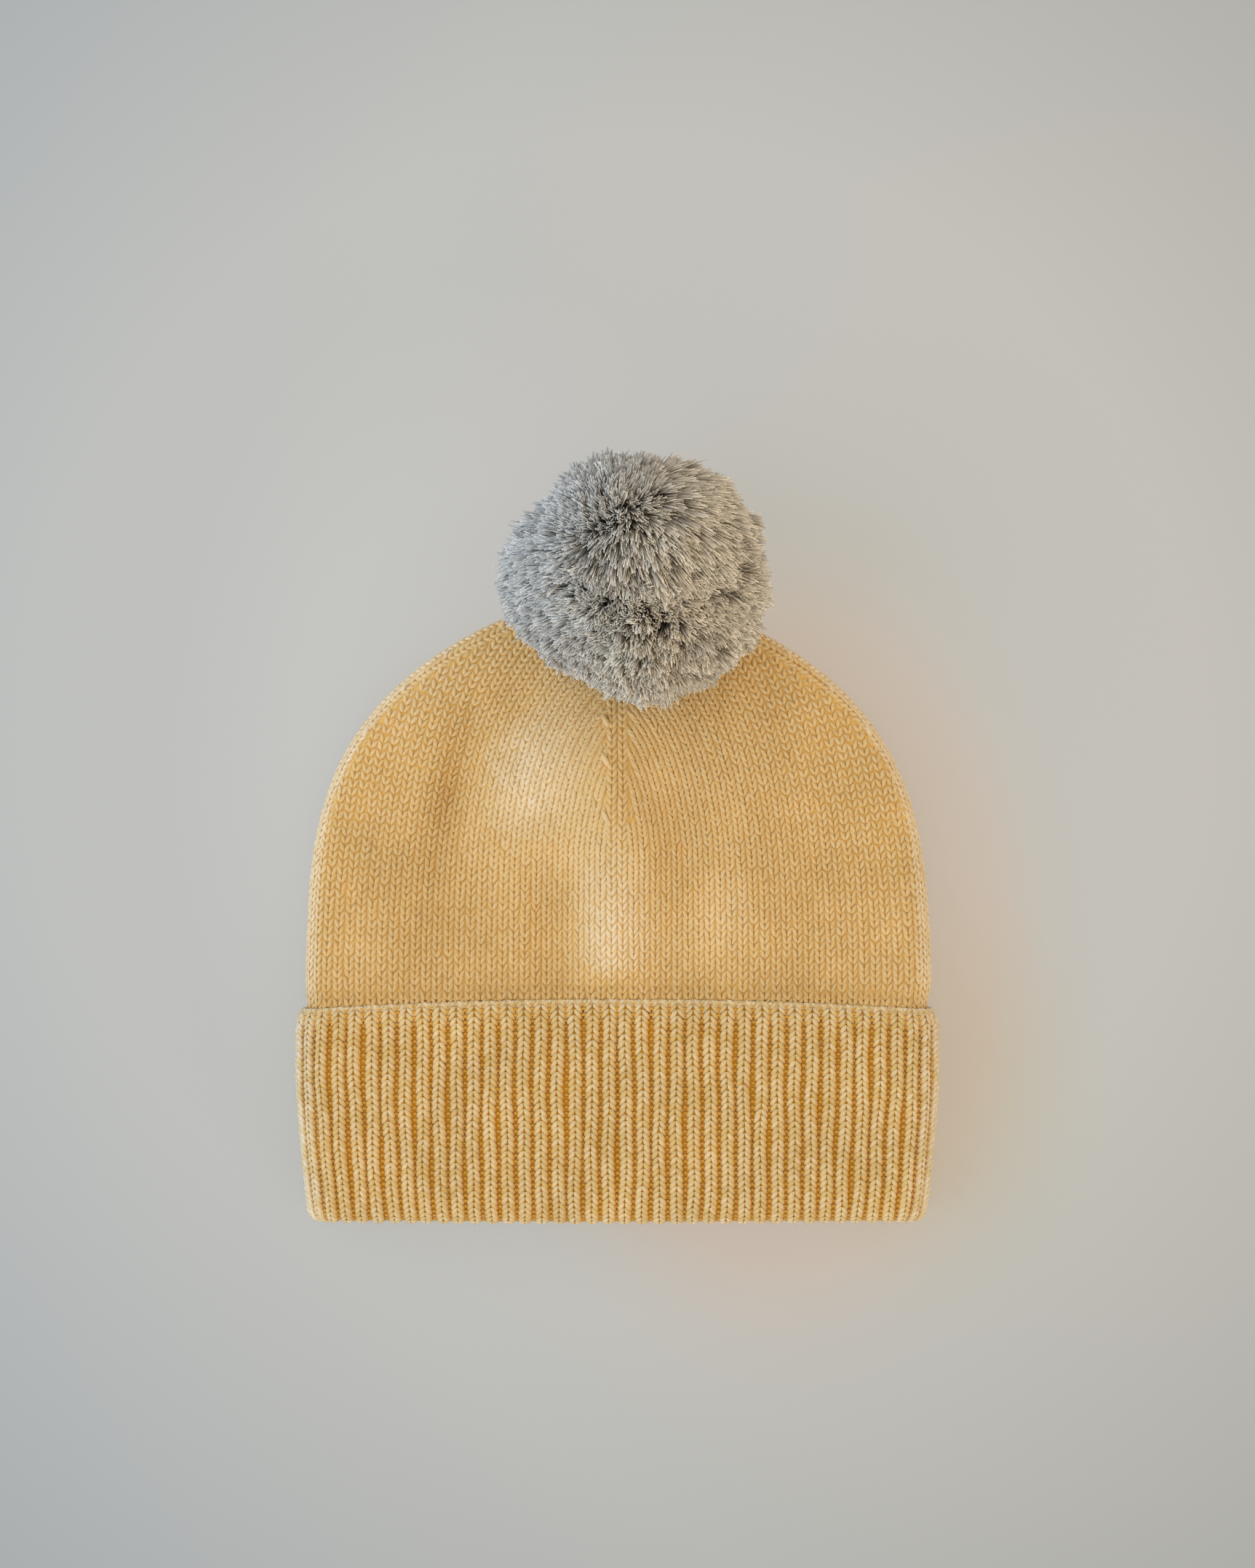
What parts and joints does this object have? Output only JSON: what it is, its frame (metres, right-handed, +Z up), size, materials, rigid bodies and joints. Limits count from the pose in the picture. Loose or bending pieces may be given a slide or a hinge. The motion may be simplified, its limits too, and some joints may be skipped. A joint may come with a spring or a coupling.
{
  "type": "knit beanie with pompom",
  "caption": "Knit hat laid flat, with a turned-up ribbed cuff, a shaped plain-knit crown in gores and a plush fur pompom sewn to its tip.",
  "frame": {"origin": "middle of the box around the laid hat, on the table under it", "axes": "+Z up from the table, +Y from the mouth towards the pompom, +X to the right as seen from above"},
  "size_m": [0.2146, 0.254, 0.0808],
  "materials": {
    "plain_knit": "pale golden yellow plain knit of soft heavy yarn",
    "rib_knit": "pale golden yellow one-by-one rib of the same yarn",
    "seam_thread": "linking yarn in the hat's colour",
    "pompom_fur": "mid grey plush fur, darker at the roots and pale at the tips",
    "filling": "white fibre filling",
    "grey_thread": "grey tying thread"
  },
  "bodies": {
    "hat": {"crown_front_left": "plain_knit", "crown_front_right": "plain_knit", "crown_back_left": "plain_knit", "crown_back_right": "plain_knit", "crown_back_seam": "seam_thread", "gather_thread": "seam_thread", "inner_rib": "rib_knit"},
    "cuff": {"turn_up": "rib_knit", "turn_up_edge": "rib_knit", "turn_up_seam": "seam_thread"},
    "pompom": {"pompom_cover": "pompom_fur", "pompom_filling": "filling", "pompom_drawstring": "grey_thread", "pompom_tail": "grey_thread", "tail_knot": "grey_thread"}
  },
  "joints": [
    {"name": "cuff_unroll", "type": "slide", "parent": "hat", "child": "cuff", "axis": [0, -1, 0], "range_m": [0, 0.06]},
    {"name": "pompom_nod", "type": "hinge", "parent": "hat", "child": "pompom", "pos_m": [0, 0.09053, 0.0056], "axis": [1, 0, 0], "range_deg": [-90, 0]}
  ]
}
